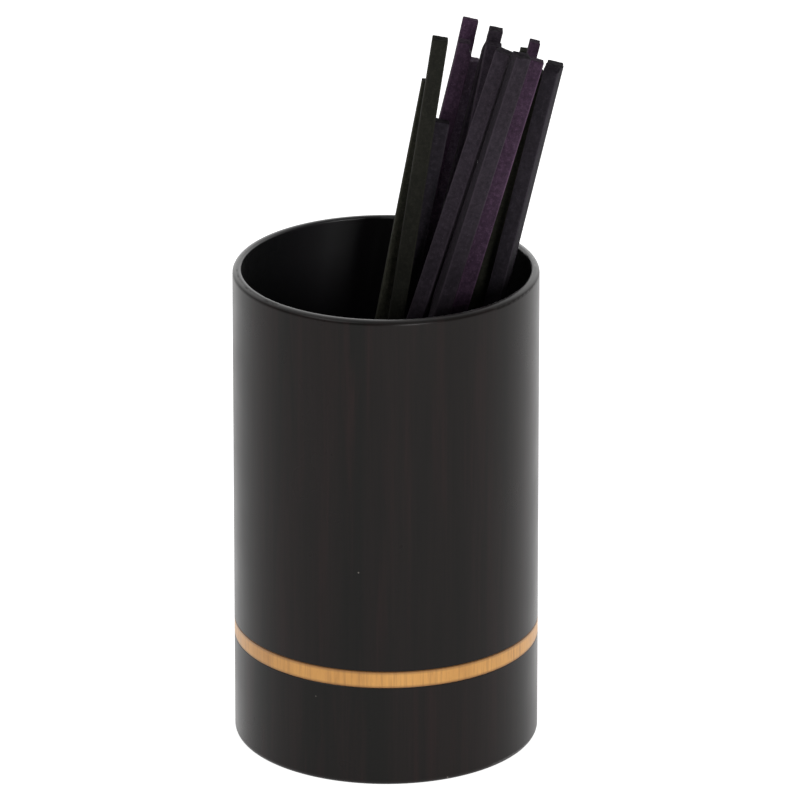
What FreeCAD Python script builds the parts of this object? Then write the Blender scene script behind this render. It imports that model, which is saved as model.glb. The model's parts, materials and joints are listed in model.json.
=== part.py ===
"""Holder cup for incense sticks: a turned cup in dark wood with one pale maple ring, and its loose sticks.

Millimetres, +Z up. The origin is the centre of the cup's flat underside, and the front is -Y.
Every piece is written to parts/ as its own STEP file.
"""

import FreeCAD
import Part
import math
import os

# Cup: outside
OUTER_R = 26.0
HEIGHT = 84.4
FOOT_ROUND = 1.0

# Lip: a thin wall with a soft outer edge and a finer inner edge
LIP_WALL = 1.5
LIP_ROUND_OUT = 0.9
LIP_ROUND_IN = 0.45

# Cavity: straight in the base, then widening slowly up to the thin lip
FLOOR_Z = 6.0
BORE_R = 22.5
FLOOR_ROUND = 1.0
LIP_BORE_R = OUTER_R - LIP_WALL

# The maple ring is a flush band between the base and the barrel
RING_LOW = 18.0
RING_HIGH = 21.0
SEAM_CHAMFER = 0.12

# The base has an upstanding spigot that centres the ring and the barrel, and all three are glued
SPIGOT_R = 24.3
SPIGOT_TOP = 27.0
GLUE_GAP = 0.05

# Sticks: square in section with slightly softened edges
STICK_SIDE = 2.7
STICK_EDGE = 0.14
STICK_END = 0.1

# The sticks lie in sloping rows, one behind another. The rows spread a little towards the top, so
# sticks in different rows never meet, however far one is pulled out.
FRONT_ROW_FOOT_Y = -9.7
FOOT_ROW_STEP = 3.2
FRONT_ROW_RIM_Y = -6.5
RIM_ROW_STEP = 3.45

# Each stick: row from the front, x at its foot, x at the height of the rim, length, twist in degrees
STICKS = [
    (0, -12.9, 10.8, 122.9, 14.0),
    (1, -17.1, 7.6, 122.6, -18.0),
    (1, -8.7, 14.2, 120.4, 0.0),
    (2, -8.7, 3.1, 119.8, 0.0),
    (2, 1.0, 19.8, 116.9, -20.0),
    (3, -13.2, 1.5, 111.5, 0.0),
    (3, -10.1, 4.8, 104.3, 0.0),
    (3, -5.1, 10.6, 118.2, 0.0),
    (3, -2.0, 17.1, 114.5, 0.0),
    (4, -14.0, 4.7, 118.3, 0.0),
    (4, -9.5, 9.1, 120.6, 0.0),
    (4, -2.1, 16.7, 118.3, 0.0),
    (4, 2.3, 20.8, 114.6, 0.0),
    (5, -10.4, 7.3, 113.6, 14.0),
    (5, -1.4, 16.3, 115.2, 0.0),
    (6, -11.0, 6.0, 119.2, 0.0),
]


def turned(points):
    """A solid of revolution about Z from (radius, height) points."""
    corners = [FreeCAD.Vector(r, 0, z) for r, z in points]
    outline = Part.makePolygon(corners + [corners[0]])
    axis_start = FreeCAD.Vector(0, 0, 0)
    axis = FreeCAD.Vector(0, 0, 1)
    return Part.Face(outline).revolve(axis_start, axis, 360)


def circle_edge(shape, radius, height):
    """The full circular edge of a turned shape at this radius and height."""
    for edge in shape.Edges:
        if not isinstance(edge.Curve, Part.Circle):
            continue
        same_height = abs(edge.Curve.Center.z - height) < 1e-4
        if same_height and abs(edge.Curve.Radius - radius) < 1e-4:
            return edge
    raise ValueError(f"no edge of radius {radius} at height {height}")


def rounded(shape, radius, height, size):
    """The shape with one circular edge rounded."""
    return shape.makeFillet(size, [circle_edge(shape, radius, height)])


def bevelled(shape, radius, height, size):
    """The shape with one circular edge chamfered."""
    return shape.makeChamfer(size, [circle_edge(shape, radius, height)])


def make_base_cup():
    """The bottom of the cup: a solid floor, a short wall, and the spigot."""
    base = turned(
        [
            (0, 0),
            (OUTER_R, 0),
            (OUTER_R, RING_LOW),
            (SPIGOT_R, RING_LOW),
            (SPIGOT_R, SPIGOT_TOP),
            (BORE_R, SPIGOT_TOP),
            (BORE_R, FLOOR_Z),
            (0, FLOOR_Z),
        ]
    )
    base = rounded(base, OUTER_R, 0, FOOT_ROUND)
    base = rounded(base, BORE_R, FLOOR_Z, FLOOR_ROUND)
    return bevelled(base, OUTER_R, RING_LOW, SEAM_CHAMFER)


def make_maple_ring():
    """The pale ring, glued round the spigot and flush with the wall."""
    inner = SPIGOT_R + GLUE_GAP
    ring = turned(
        [
            (inner, RING_LOW),
            (OUTER_R, RING_LOW),
            (OUTER_R, RING_HIGH),
            (inner, RING_HIGH),
        ]
    )
    ring = bevelled(ring, OUTER_R, RING_LOW, SEAM_CHAMFER)
    return bevelled(ring, OUTER_R, RING_HIGH, SEAM_CHAMFER)


def make_upper_barrel():
    """The tall wall above the ring: a socket for the spigot, a widening bore and a thin rounded lip."""
    socket_r = SPIGOT_R + GLUE_GAP
    shoulder_z = SPIGOT_TOP + GLUE_GAP
    barrel = turned(
        [
            (socket_r, RING_HIGH),
            (OUTER_R, RING_HIGH),
            (OUTER_R, HEIGHT),
            (LIP_BORE_R, HEIGHT),
            (BORE_R, shoulder_z),
            (socket_r, shoulder_z),
        ]
    )
    barrel = rounded(barrel, OUTER_R, HEIGHT, LIP_ROUND_OUT)
    barrel = rounded(barrel, LIP_BORE_R, HEIGHT, LIP_ROUND_IN)
    return bevelled(barrel, OUTER_R, RING_HIGH, SEAM_CHAMFER)


def stick_line(row, foot_x, rim_x):
    """The foot point on the cavity floor and the unit direction of one stick."""
    foot_y = FRONT_ROW_FOOT_Y + FOOT_ROW_STEP * row
    rim_y = FRONT_ROW_RIM_Y + RIM_ROW_STEP * row
    foot = FreeCAD.Vector(foot_x, foot_y, FLOOR_Z)
    along = FreeCAD.Vector(rim_x, rim_y, HEIGHT) - foot
    return foot, along.normalize()


def make_stick(row, foot_x, rim_x, length, twist):
    """One square stick, leaning along its line with its lowest corner on the cavity floor."""
    foot, along = stick_line(row, foot_x, rim_x)
    across = FreeCAD.Vector(1, 0, 0) - along * along.x
    across.normalize()
    depth = along.cross(across)
    turn = math.radians(twist)
    side_a = across * math.cos(turn) + depth * math.sin(turn)
    side_b = depth * math.cos(turn) - across * math.sin(turn)

    half = STICK_SIDE / 2
    drop = half * (abs(side_a.z) + abs(side_b.z))
    start = foot + along * (drop / along.z)

    bar = Part.makeBox(STICK_SIDE, STICK_SIDE, length, FreeCAD.Vector(-half, -half, 0))
    long_edges = [e for e in bar.Edges if abs(e.Length - length) < 1e-6]
    bar = bar.makeFillet(STICK_EDGE, long_edges)
    end_edges = [e for e in bar.Edges if e.BoundBox.ZLength < 1e-6]
    bar = bar.makeChamfer(STICK_END, end_edges)
    bar.Placement = FreeCAD.Placement(
        FreeCAD.Matrix(
            side_a.x, side_b.x, along.x, start.x,
            side_a.y, side_b.y, along.y, start.y,
            side_a.z, side_b.z, along.z, start.z,
            0, 0, 0, 1,
        )
    )
    return bar


def write(name, shape):
    """Write one piece as parts/NAME.step, after checking that it is one sound solid."""
    if not shape.isValid() or len(shape.Solids) != 1:
        raise ValueError(f"{name} is not one valid solid")
    shape.Solids[0].exportStep(f"parts/{name}.step")


os.makedirs("parts", exist_ok=True)
write("upper_barrel", make_upper_barrel())
write("maple_ring", make_maple_ring())
write("base_cup", make_base_cup())
for number, stick in enumerate(STICKS, start=1):
    write(f"incense_stick_{number:02d}", make_stick(*stick))
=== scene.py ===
"""Looks for the incense stick holder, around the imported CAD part.

It gives the cup its materials, replaces the plain CAD sticks with pressed ones, and adds the floor, the
lights and the camera. Metres, in the same frame as the CAD: the origin is under the cup, +Z is up, and the
camera stands at -Y.
"""

import json
import math
import random
from collections import namedtuple

import bmesh
import bpy
from mathutils import Matrix, Vector


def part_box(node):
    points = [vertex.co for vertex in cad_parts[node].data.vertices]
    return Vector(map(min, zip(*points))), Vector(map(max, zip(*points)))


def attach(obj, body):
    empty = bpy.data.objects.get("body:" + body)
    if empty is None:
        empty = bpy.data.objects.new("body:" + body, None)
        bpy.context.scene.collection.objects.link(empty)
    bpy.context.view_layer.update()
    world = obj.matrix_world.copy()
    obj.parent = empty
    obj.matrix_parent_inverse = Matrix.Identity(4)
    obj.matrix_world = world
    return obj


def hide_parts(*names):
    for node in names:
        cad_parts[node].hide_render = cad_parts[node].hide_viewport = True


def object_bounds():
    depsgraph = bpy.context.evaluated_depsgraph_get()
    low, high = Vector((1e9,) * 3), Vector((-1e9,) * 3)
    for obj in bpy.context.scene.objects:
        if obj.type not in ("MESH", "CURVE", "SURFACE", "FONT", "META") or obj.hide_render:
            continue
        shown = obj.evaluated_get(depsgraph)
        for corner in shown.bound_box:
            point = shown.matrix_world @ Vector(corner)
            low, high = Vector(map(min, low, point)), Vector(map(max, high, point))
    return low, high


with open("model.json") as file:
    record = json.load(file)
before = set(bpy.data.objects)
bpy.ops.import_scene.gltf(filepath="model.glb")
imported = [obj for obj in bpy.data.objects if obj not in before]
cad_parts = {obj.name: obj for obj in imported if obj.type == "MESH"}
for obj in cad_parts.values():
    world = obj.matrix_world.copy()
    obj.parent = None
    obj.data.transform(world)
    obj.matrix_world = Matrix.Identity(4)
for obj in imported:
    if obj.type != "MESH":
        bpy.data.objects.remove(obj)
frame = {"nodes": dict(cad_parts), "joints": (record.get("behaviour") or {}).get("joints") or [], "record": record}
cad_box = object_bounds()

MM = 0.001

# Cup: the bore's radius at the lip, where the lacquer inside begins
LIP_BORE_R = 24.5 * MM

# Sticks: the CAD ones are this wide. Each one's length and lean come from the frame.
STICK_SIDE = 2.7 * MM
STICK_COUNT = 16
STICK_SEED = 100

# The pressed sticks are a hair narrower than the CAD ones, with worn corners
SIDE_CLEARANCE = 0.01 * MM
CORNER_ROUND = 0.20 * MM

# They stand this much prouder than the CAD ones, where the CAD box leaves room for it and a little more
PROUD = 0.3 * MM
BOX_CLEARANCE = 0.05 * MM

# A stick's mesh has long steps, then short ones near its top, where corners break off
LONG_STEPS = 38
TOP_ZONE = 5.0 * MM
TOP_STEP = 0.5 * MM
TOP_STEPS = 9
FOOT_BEVEL = 0.25 * MM
TOP_BEVEL = 0.12 * MM

# The cut at the top is tilted over its last part and crumbles a little. Both ends close in smaller rings.
TILTED_PART = 0.3 * MM
EDGE_CRUMBLE = 0.07 * MM
CAP_CRUMBLE = 0.10 * MM
CAP_RINGS = (0.72, 0.42, 0.16)

# A broken corner slopes in over this share of its depth, and its face is this rough
BREAK_SLOPE = 0.35
BREAK_ROUGHNESS = 0.08 * MM

# Each face wavers slowly and quickly along the stick, by this share of its width, and is a little rough
SLOW_WAVER = 9
FAST_WAVER = 23
WAVER = 0.0015
FACE_ROUGHNESS = 0.002
FULL_TURN = 6.283

# Broken corners at the top: which side is broken, how far down, and how much of the width is gone
Chip = namedtuple("Chip", "side depth bite")
CHIPS = {
    5: Chip(side=-1, depth=1.0 * MM, bite=0.30),
    10: Chip(side=1, depth=2.0 * MM, bite=0.24),
    11: Chip(side=-1, depth=4.5 * MM, bite=0.16),
    12: Chip(side=-1, depth=4.5 * MM, bite=0.36),
    16: Chip(side=1, depth=4.0 * MM, bite=0.34),
}

# Three tones of each kind of incense: its ground, the drift across it, and its pale grains
Tint = namedtuple("Tint", "ground drift pale")
TINTS = {
    "olive_incense": Tint(
        ground=(0.0120, 0.0125, 0.0082),
        drift=(0.0160, 0.0155, 0.0102),
        pale=(0.0232, 0.0226, 0.0165),
    ),
    "purple_incense": Tint(
        ground=(0.0295, 0.0142, 0.0305),
        drift=(0.0390, 0.0190, 0.0400),
        pale=(0.0570, 0.0310, 0.0560),
    ),
    "violet_grey_incense": Tint(
        ground=(0.0215, 0.0152, 0.0225),
        drift=(0.0235, 0.0178, 0.0265),
        pale=(0.0360, 0.0275, 0.0370),
    ),
    "grey_incense": Tint(
        ground=(0.0150, 0.0124, 0.0178),
        drift=(0.0190, 0.0146, 0.0206),
        pale=(0.0285, 0.0235, 0.0305),
    ),
}

# How light each stick is against its kind's tones, where it differs: partly each stick's own tone, partly painted
# light, raised for sticks that fall in shade, stick 14 most of all
TONES_AND_PAINTED_LIGHT = {
    1: 0.78,
    2: 0.92,
    3: 1.10,
    4: 0.60,
    5: 0.88,
    6: 1.5,
    8: 1.3,
    10: 0.90,
    14: 5.0,
    15: 1.4,
    16: 1.9,
}

# Dark wood tones
WOOD_GROUND = (0.0062, 0.0058, 0.0052)
WOOD_BAND = (0.0110, 0.0078, 0.0074)
WOOD_STREAK = (0.0170, 0.0088, 0.0086)
WOOD_FIBRE = (0.0040, 0.0038, 0.0036)
WOOD_PORE = (0.0025, 0.0024, 0.0023)
BORE_LACQUER = (0.0060, 0.0062, 0.0068)
DUST = (0.22, 0.20, 0.18)

# Maple tones
MAPLE_GROUND = (0.49, 0.232, 0.053)
MAPLE_BAND = (0.62, 0.312, 0.080)
MAPLE_LINE = (0.33, 0.150, 0.040)
MAPLE_FLECK = (0.36, 0.15, 0.045)
MAPLE_SEAM = (0.13, 0.055, 0.018)


# ---------------------------------------------------------------- node helpers


class Nodes:
    """A node tree with one shader on its output, and short calls for the nodes used here."""

    def __init__(self, owner, shader_kind, output_kind):
        owner.use_nodes = True
        self.tree = owner.node_tree
        self.tree.nodes.clear()
        self.shader = self.new(shader_kind)
        self.link(self.shader.outputs[0], self.new(output_kind).inputs["Surface"])

    def new(self, kind):
        return self.tree.nodes.new(kind)

    def link(self, source, target):
        self.tree.links.new(source, target)

    def feed(self, node, key, value):
        """Puts a number, a colour or another node's output on an input."""
        socket = node.inputs[key]
        if isinstance(value, bpy.types.NodeSocket):
            self.link(value, socket)
        elif socket.type == "RGBA":
            socket.default_value = (*value, 1.0)
        else:
            socket.default_value = value

    def point(self):
        return self.new("ShaderNodeTexCoord").outputs["Object"]

    def scaled(self, vector, x, y, z):
        node = self.new("ShaderNodeMapping")
        self.feed(node, "Vector", vector)
        self.feed(node, "Scale", (x, y, z))
        return node.outputs["Vector"]

    def shifted(self, vector, x, y, z):
        node = self.new("ShaderNodeMapping")
        self.feed(node, "Vector", vector)
        self.feed(node, "Location", (x, y, z))
        return node.outputs["Vector"]

    def noise(self, vector, scale, detail, roughness=0.5, distortion=0.0):
        node = self.new("ShaderNodeTexNoise")
        self.feed(node, "Vector", vector)
        self.feed(node, "Scale", scale)
        self.feed(node, "Detail", detail)
        self.feed(node, "Roughness", roughness)
        self.feed(node, "Distortion", distortion)
        return node.outputs["Fac"]

    def cells(self, vector, scale):
        """Distance from the nearest of many scattered points."""
        node = self.new("ShaderNodeTexVoronoi")
        self.feed(node, "Vector", vector)
        self.feed(node, "Scale", scale)
        return node.outputs["Distance"]

    def spread(self, value, low, high, to_low=0.0, to_high=1.0):
        """Carries low to high onto to_low to to_high, and holds it there outside them."""
        node = self.new("ShaderNodeMapRange")
        node.clamp = True
        self.feed(node, "Value", value)
        self.feed(node, "From Min", low)
        self.feed(node, "From Max", high)
        self.feed(node, "To Min", to_low)
        self.feed(node, "To Max", to_high)
        return node.outputs["Result"]

    def math(self, operation, a, b=0.0):
        node = self.new("ShaderNodeMath")
        node.operation = operation
        self.feed(node, 0, a)
        self.feed(node, 1, b)
        return node.outputs["Value"]

    def mix(self, factor, a, b):
        """A colour from a, where factor is 0, to b, where it is 1."""
        # A Mix node has one set of inputs for each data type, under the same names, so they go by number
        node = self.new("ShaderNodeMix")
        node.data_type = "RGBA"
        self.feed(node, 0, factor)
        self.feed(node, 6, a)
        self.feed(node, 7, b)
        return node.outputs[2]

    def split(self, vector):
        node = self.new("ShaderNodeSeparateXYZ")
        self.feed(node, 0, vector)
        return node.outputs["X"], node.outputs["Y"], node.outputs["Z"]

    def radius(self, vector):
        """Distance from the cup's axis."""
        x, y, _ = self.split(vector)
        x_squared = self.math("MULTIPLY", x, x)
        y_squared = self.math("MULTIPLY", y, y)
        return self.math("SQRT", self.math("ADD", x_squared, y_squared))

    def bump(self, height, distance, strength, under=None):
        """A bumped normal, laid over another one if there is one under it."""
        node = self.new("ShaderNodeBump")
        self.feed(node, "Height", height)
        self.feed(node, "Distance", distance)
        self.feed(node, "Strength", strength)
        if under is not None:
            self.feed(node, "Normal", under)
        return node.outputs["Normal"]

    def surface(self, **values):
        """Sets the shader: keyword names are its input names with _ for a space."""
        for name, value in values.items():
            self.feed(self.shader, name.replace("_", " "), value)


def new_material(name):
    material = bpy.data.materials.new(name)
    return material, Nodes(material, "ShaderNodeBsdfPrincipled", "ShaderNodeOutputMaterial")


def shaded(colour, times):
    """A colour made lighter or darker."""
    return tuple(times * c for c in colour)


# ---------------------------------------------------------------- materials


def dark_wood(name, shift):
    """Near-black wood with fine vertical grain, satin outside, lacquered on the lip and inside.

    Each piece has its own shift, in metres, so that its grain doesn't run on from its neighbour's.
    """
    material, n = new_material(name)
    point = n.point()
    timber = n.shifted(point, shift, shift * 0.7, shift * 0.3)
    grain_at = n.scaled(timber, 1.0, 1.0, 0.045)
    streaks = n.noise(grain_at, 420.0, 5.0, 0.6, 0.6)
    bands = n.noise(grain_at, 95.0, 3.0, 0.5, 1.2)
    fibre = n.noise(n.scaled(timber, 1.0, 1.0, 0.02), 2600.0, 3.0, 0.6)
    pores = n.cells(n.scaled(timber, 1.0, 1.0, 0.05), 1500.0)
    pore = n.spread(pores, 0.02, 0.10, 1.0, 0.0)
    tone = n.mix(n.spread(bands, 0.38, 0.66), WOOD_GROUND, WOOD_BAND)
    tone = n.mix(n.spread(streaks, 0.50, 0.72, 0.0, 0.8), tone, WOOD_STREAK)
    tone = n.mix(n.spread(fibre, 0.35, 0.70, 0.0, 0.35), tone, WOOD_FIBRE)
    tone = n.mix(n.math("MULTIPLY", pore, 0.5), tone, WOOD_PORE)

    inside = n.spread(n.radius(point), LIP_BORE_R + 0.15 * MM, LIP_BORE_R + 0.55 * MM, 1.0, 0.0)
    tone = n.mix(inside, tone, BORE_LACQUER)
    dust = n.spread(n.cells(timber, 130.0), 0.012, 0.022, 0.6, 0.0)
    tone = n.mix(dust, tone, DUST)

    normal = n.new("ShaderNodeNewGeometry").outputs["Normal"]
    _, _, upward = n.split(normal)
    rim_top = n.spread(upward, 0.45, 0.85)
    polish = n.math("MAXIMUM", inside, n.math("MULTIPLY", rim_top, 0.90))
    smudge = n.noise(point, 60.0, 3.0, 0.55)
    relief = n.math("SUBTRACT", n.math("MULTIPLY", fibre, 0.5), n.math("MULTIPLY", pore, 0.6))
    grain_bump = n.bump(relief, 0.012 * MM, 0.5)
    wave = n.noise(n.scaled(point, 1.0, 1.0, 0.35), 45.0, 2.0)
    n.surface(
        Base_Color=tone,
        Roughness=n.spread(smudge, 0.3, 0.7, 0.26, 0.34),
        Specular_IOR_Level=0.13,
        Coat_Weight=polish,
        Coat_Roughness=0.33,
        Coat_IOR=1.85,
        Normal=n.bump(wave, 0.05 * MM, 0.35, grain_bump),
    )
    return material


def maple(name):
    """Pale satin maple with its grain standing upright, darker along its two seams."""
    material, n = new_material(name)
    point = n.point()
    broad = n.noise(n.scaled(point, 1.0, 1.0, 0.18), 130.0, 4.0, 0.55, 0.4)
    lines = n.noise(n.scaled(point, 1.0, 1.0, 0.05), 1700.0, 4.0, 0.65)
    flecks = n.cells(n.scaled(point, 1.0, 1.0, 0.22), 1500.0)
    tone = n.mix(n.spread(broad, 0.32, 0.68), MAPLE_GROUND, MAPLE_BAND)
    tone = n.mix(n.spread(lines, 0.46, 0.70, 0.0, 0.7), tone, MAPLE_LINE)
    tone = n.mix(n.spread(flecks, 0.03, 0.16, 0.4, 0.0), tone, MAPLE_FLECK)

    _, _, height = n.split(point)
    low, high = (corner.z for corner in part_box("maple_ring"))
    low_seam = n.spread(height, low + 0.05 * MM, low + 0.55 * MM, 1.0, 0.0)
    high_seam = n.spread(height, high - 0.65 * MM, high - 0.05 * MM, 0.0, 1.0)
    seam = n.math("MAXIMUM", low_seam, high_seam)
    tone = n.mix(n.math("MULTIPLY", seam, 0.85), tone, MAPLE_SEAM)
    n.surface(
        Base_Color=tone,
        Roughness=n.spread(broad, 0.3, 0.7, 0.30, 0.38),
        Specular_IOR_Level=0.35,
        Normal=n.bump(lines, 0.01 * MM, 0.4),
    )
    return material


def incense(name, ground, drift_tone, pale):
    """Pressed incense powder: matte, mottled, faintly striped along the stick, with pale grains."""
    material, n = new_material(name)
    point = n.point()
    mottle = n.noise(point, 520.0, 5.0, 0.6)
    drift = n.noise(n.scaled(point, 1.0, 1.0, 0.35), 160.0, 3.0, 0.5, 0.5)
    stripes = n.noise(n.scaled(point, 1.0, 1.0, 0.12), 1500.0, 3.0, 0.55)
    grit = n.noise(point, 1900.0, 3.0, 0.7)
    powder = n.noise(point, 5200.0, 3.0, 0.7)
    speck = n.spread(n.cells(point, 1500.0), 0.05, 0.13, 1.0, 0.0)
    tone = n.mix(n.spread(drift, 0.35, 0.68), ground, drift_tone)
    tone = n.mix(n.spread(mottle, 0.46, 0.72, 0.0, 0.5), tone, pale)
    tone = n.mix(n.spread(stripes, 0.45, 0.75, 0.0, 0.35), tone, shaded(ground, 0.45))
    tone = n.mix(n.spread(grit, 0.52, 0.66, 0.0, 0.55), tone, shaded(pale, 1.25))
    tone = n.mix(n.spread(grit, 0.36, 0.48, 0.55, 0.0), tone, shaded(ground, 0.5))

    # The long corners, where both X and Y are far from the stick's middle, get a painted highlight, paler here and
    # there, where the rounded edges would catch the light
    x, y, _ = n.split(point)
    inner = n.math("MINIMUM", n.math("ABSOLUTE", x), n.math("ABSOLUTE", y))
    corner = n.spread(inner, STICK_SIDE / 2 - 0.32 * MM, STICK_SIDE / 2 - 0.10 * MM)
    painted_corner_highlight = n.math("MULTIPLY", corner, n.spread(drift, 0.3, 0.7, 0.2, 0.8))
    tone = n.mix(painted_corner_highlight, tone, shaded(pale, 1.7))
    tone = n.mix(n.math("MULTIPLY", speck, 0.55), tone, shaded(pale, 2.2))

    relief = n.math("ADD", n.math("MULTIPLY", powder, 0.5), n.math("MULTIPLY", stripes, 0.6))
    powder_bump = n.bump(relief, 0.06 * MM, 0.8)
    n.surface(
        Base_Color=tone,
        Roughness=0.92,
        Specular_IOR_Level=0.25,
        Normal=n.bump(mottle, 0.12 * MM, 0.5, powder_bump),
    )
    return material


def dress(node_name, material):
    """Gives a CAD node one material."""
    for slot in frame["nodes"][node_name].material_slots:
        slot.material = material


dress("upper_barrel", dark_wood("dark_wood_barrel", 0.0))
dress("base_cup", dark_wood("dark_wood_base", 0.013))
dress("maple_ring", maple("maple_ring_wood"))


# ---------------------------------------------------------------- sticks


def stick_place(name, joint):
    """Where one stick's own frame stands: Z along the stick from its foot, X and Y square to its faces."""
    along = Vector(joint["axis"]).normalized()
    mesh = frame["nodes"][name].data

    # The largest flat that runs along the stick shows how it is turned about its length
    sides = [p for p in mesh.polygons if abs(p.normal.dot(along)) < 0.05]
    depth = max(sides, key=lambda p: p.area).normal.copy()
    depth = (depth - along * depth.dot(along)).normalized()
    across = depth.cross(along).normalized()

    # The stick's own frame stands at the middle of its section, at its foot
    spans = []
    for direction in (across, depth, along):
        reach = [v.co.dot(direction) for v in mesh.vertices]
        spans.append((min(reach), max(reach)))
    (left, right), (near, far), (low, high) = spans
    place = Matrix((across, depth, along)).transposed().to_4x4()
    place.translation = across * (left + right) / 2 + depth * (near + far) / 2 + along * low
    return place, high - low


def section_points(half, corner, arc_cuts=3, side_cuts=5):
    """A square outline with round corners, anticlockwise."""
    inner = half - corner
    arcs = []
    for sx, sy, start in ((1, 1, 0), (-1, 1, 90), (-1, -1, 180), (1, -1, 270)):
        turns = [math.radians(start + 90 * i / arc_cuts) for i in range(arc_cuts + 1)]
        centre_x, centre_y = sx * inner, sy * inner
        arcs.append([(centre_x + corner * math.cos(t), centre_y + corner * math.sin(t)) for t in turns])
    outline = []
    for arc, following in zip(arcs, arcs[1:] + arcs[:1]):
        outline += arc
        a, b = arc[-1], following[0]
        for k in range(1, side_cuts):
            share = k / side_cuts
            outline.append((a[0] + (b[0] - a[0]) * share, a[1] + (b[1] - a[1]) * share))
    return outline


def level_heights(length):
    """The heights of a stick's cross-sections, from its foot to its top."""
    zone = length - TOP_ZONE
    heights = [0.0, FOOT_BEVEL]
    heights += [zone * i / LONG_STEPS for i in range(1, LONG_STEPS + 1)]
    heights += [zone + TOP_STEP * i for i in range(1, TOP_STEPS + 1)]
    return heights + [length - TOP_BEVEL, length]


def chipped(x, height, length, half, chip, rng):
    """A point's X where the stick's top corner is broken off."""
    share = min(1.0, (height - length + chip.depth) / (BREAK_SLOPE * chip.depth))
    edge = half * (1 - 2 * chip.bite * share) + BREAK_ROUGHNESS * rng.random()
    return chip.side * min(chip.side * x, edge)


def stick_levels(bm, length, chip, rng):
    """Rings of vertices up one stick, with a slight waver in its faces and a tilted, crumbling top."""
    half = STICK_SIDE / 2 - SIDE_CLEARANCE
    outline = section_points(half, CORNER_ROUND)
    phase_a, phase_b = rng.uniform(0, FULL_TURN), rng.uniform(0, FULL_TURN)
    slope_x, slope_y = rng.uniform(-0.05, 0.05), rng.uniform(0.0, 0.06)
    drop = (abs(slope_x) + abs(slope_y)) * half
    levels = []
    for height in level_heights(length):
        level = []
        for x, y in outline:
            angle = math.atan2(y, x)
            waver = math.sin(SLOW_WAVER * height / length + phase_a + angle)
            waver += math.sin(FAST_WAVER * height / length + phase_b - 2 * angle)
            shrink = 0.995 + WAVER * waver - FACE_ROUGHNESS * rng.random()
            px, py, z = x * shrink, y * shrink, height
            if height == 0.0:
                px, py = 0.97 * px, 0.97 * py
            if chip and height > length - chip.depth:
                px = chipped(px, height, length, half, chip, rng)
            if height > length - TILTED_PART:
                z += slope_x * x + slope_y * y - drop
            if height == length:
                narrow = 0.985 - 0.03 * rng.random()
                px, py = px * narrow, py * narrow
                z -= EDGE_CRUMBLE * rng.random()
            level.append(bm.verts.new((px, py, z)))
        levels.append(level)
    return levels


def join_rings(bm, lower, upper, up=True):
    """A band of quads from one ring of vertices to the next."""
    count = len(lower)
    for j in range(count):
        k = (j + 1) % count
        quad = (lower[j], lower[k], upper[k], upper[j])
        bm.faces.new(quad if up else quad[::-1])


def close_end(bm, level, up, rng):
    """Closes one end of a stick with shrinking rings, crumbled a little at the top and flat at the foot."""
    previous = level
    for share in CAP_RINGS:
        ring = []
        for v in level:
            sink = CAP_CRUMBLE * rng.random() if up else 0.0
            ring.append(bm.verts.new((v.co.x * share, v.co.y * share, v.co.z - sink)))
        join_rings(bm, previous, ring, up)
        previous = ring
    bm.faces.new(previous if up else previous[::-1])


def new_object(name, bm):
    """A scene object from a finished bmesh, which it frees."""
    mesh = bpy.data.meshes.new(name)
    bm.to_mesh(mesh)
    bm.free()
    piece = bpy.data.objects.new(name, mesh)
    bpy.context.scene.collection.objects.link(piece)
    return piece


def make_stick(name, length, chip, rng):
    """One pressed stick, standing on its own origin."""
    bm = bmesh.new()
    levels = stick_levels(bm, length, chip, rng)
    for lower, upper in zip(levels, levels[1:]):
        join_rings(bm, lower, upper)
    close_end(bm, levels[0], False, rng)
    close_end(bm, levels[-1], True, rng)
    bm.normal_update()
    for face in bm.faces:
        face.smooth = True
    return new_object(name, bm)


def extra_length(node_name):
    """How much a stick may stand proud of its CAD node and stay inside the CAD box."""
    stick_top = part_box(node_name)[1]
    room = min(cad_box[1].z - stick_top.z, cad_box[1].x - stick_top.x)
    return max(0.0, min(PROUD, room - BOX_CLEARANCE))


slots = {s["node"]: s["material_slot"] for s in frame["record"]["subparts"]}
joints = {j["child"]: j for j in frame["joints"]}
for number in range(1, STICK_COUNT + 1):
    node_name = f"incense_stick_{number:02d}"
    body = f"stick_{number:02d}"
    rng = random.Random(STICK_SEED + number)
    place, length = stick_place(node_name, joints[body])
    length += extra_length(node_name)
    piece = make_stick(f"{body}_pressed", length, CHIPS.get(number), rng)
    piece.matrix_world = place
    slot = slots[node_name]
    # A random tone, times the stick's entry, which also paints light onto sticks that fall in shade
    tone_and_painted_light = rng.uniform(0.94, 1.06) * TONES_AND_PAINTED_LIGHT.get(number, 1.0)
    tones = [shaded(tone, tone_and_painted_light) for tone in TINTS[slot]]
    piece.data.materials.append(incense(f"{slot}_{number:02d}", *tones))
    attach(piece, body)
    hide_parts(node_name)


# ---------------------------------------------------------------- floor, light and camera


def make_floor(half=6.0, cuts=12):
    """A wide pale floor that glows a little, so that it stays white under the object."""
    marks = [-half + i * 2 * half / cuts for i in range(cuts + 1)]
    bm = bmesh.new()
    rows = [[bm.verts.new((x, y, 0)) for x in marks] for y in marks]
    for near, far in zip(rows, rows[1:]):
        for i in range(cuts):
            bm.faces.new((near[i], near[i + 1], far[i + 1], far[i]))
    floor = new_object("floor", bm)
    material, n = new_material("pale_floor")
    paper = n.noise(n.point(), 900.0, 3.0)
    n.surface(
        Base_Color=n.mix(paper, (0.86, 0.86, 0.86), (0.90, 0.90, 0.90)),
        Roughness=0.9,
        Specular_IOR_Level=0.1,
        Emission_Color=(1.0, 1.0, 1.0),
        Emission_Strength=0.92,
    )
    floor.data.materials.append(material)


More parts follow.
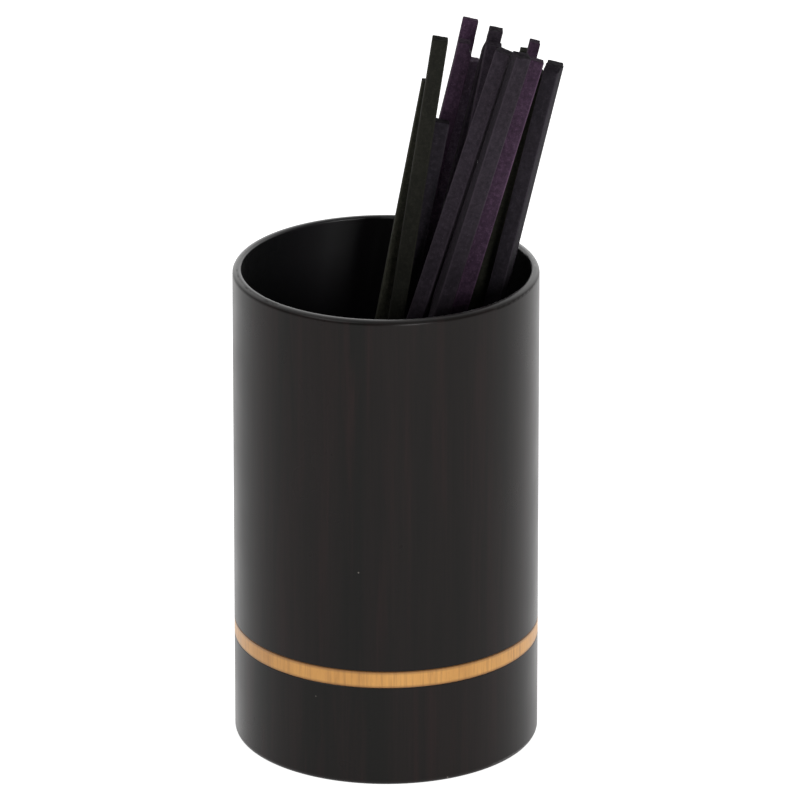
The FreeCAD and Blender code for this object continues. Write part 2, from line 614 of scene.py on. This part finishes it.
def make_world():
    """A white room that is brightest behind the object, dimmer at the sides, and dim above and in front."""
    world = bpy.data.worlds.new("studio")
    bpy.context.scene.world = world
    n = Nodes(world, "ShaderNodeBackground", "ShaderNodeOutputWorld")
    direction = n.new("ShaderNodeTexCoord").outputs["Generated"]
    _, back, height = n.split(direction)

    ramp = n.new("ShaderNodeValToRGB")
    n.feed(ramp, 0, n.spread(back, -1.0, 1.0))
    stops = ((0.0, 0.10), (0.4, 0.20), (0.58, 0.42), (0.78, 0.85), (1.0, 1.0))
    elements = ramp.color_ramp.elements
    elements[0].position = stops[0][0]
    elements[1].position = stops[-1][0]
    for position, _ in stops[1:-1]:
        elements.new(position)
    for element, (_, grey) in zip(elements, stops):
        element.color = (grey, grey, grey, 1)

    above = n.spread(height, 0.35, 0.75, 1.0, 0.60)
    strength = n.math("MULTIPLY", ramp.outputs["Color"], above)

    # The camera sees plain white behind the floor's edge
    seen = n.new("ShaderNodeMix")
    n.feed(seen, 0, n.new("ShaderNodeLightPath").outputs["Is Camera Ray"])
    n.feed(seen, 2, strength)
    n.feed(seen, 3, 1.0)
    n.surface(Color=(1.0, 1.0, 1.0), Strength=seen.outputs[0])


def soft_light(name, azimuth, elevation, distance, size, power):
    """A square soft box, aimed at the object. Azimuth 0 is the camera's side and 90 is +X."""
    aim = Vector((0, 0, 0.06))
    a, e = math.radians(azimuth), math.radians(elevation)
    spot = aim + distance * Vector((math.sin(a) * math.cos(e), -math.cos(a) * math.cos(e), math.sin(e)))
    data = bpy.data.lights.new(name, "AREA")
    data.shape = "SQUARE"
    data.size = size
    data.energy = power
    lamp = bpy.data.objects.new(name, data)
    lamp.location = spot
    lamp.rotation_euler = (aim - spot).to_track_quat("-Z", "Y").to_euler()
    bpy.context.scene.collection.objects.link(lamp)


def make_camera():
    """Straight at the front from 21.5 degrees up, with a long lens, aimed at the middle of the whole."""
    aim = Vector((0.00237, 0.0, 0.0602))
    elevation = math.radians(21.5)
    distance = 1.7
    data = bpy.data.cameras.new("camera")
    data.sensor_width = 36.0
    data.lens = 450.0
    data.clip_start = 0.05
    data.clip_end = 30.0
    camera = bpy.data.objects.new("camera", data)
    camera.location = aim + distance * Vector((0, -math.cos(elevation), math.sin(elevation)))
    camera.rotation_euler = (aim - camera.location).to_track_quat("-Z", "Y").to_euler()
    bpy.context.scene.collection.objects.link(camera)
    bpy.context.scene.camera = camera


make_floor()
make_world()
soft_light("key", azimuth=20, elevation=15, distance=1.2, size=0.30, power=5.4)
soft_light("fill", azimuth=-50, elevation=40, distance=1.3, size=0.7, power=1.6)
make_camera()
bpy.context.scene.view_settings.view_transform = "Standard"
bpy.context.scene.view_settings.look = "None"
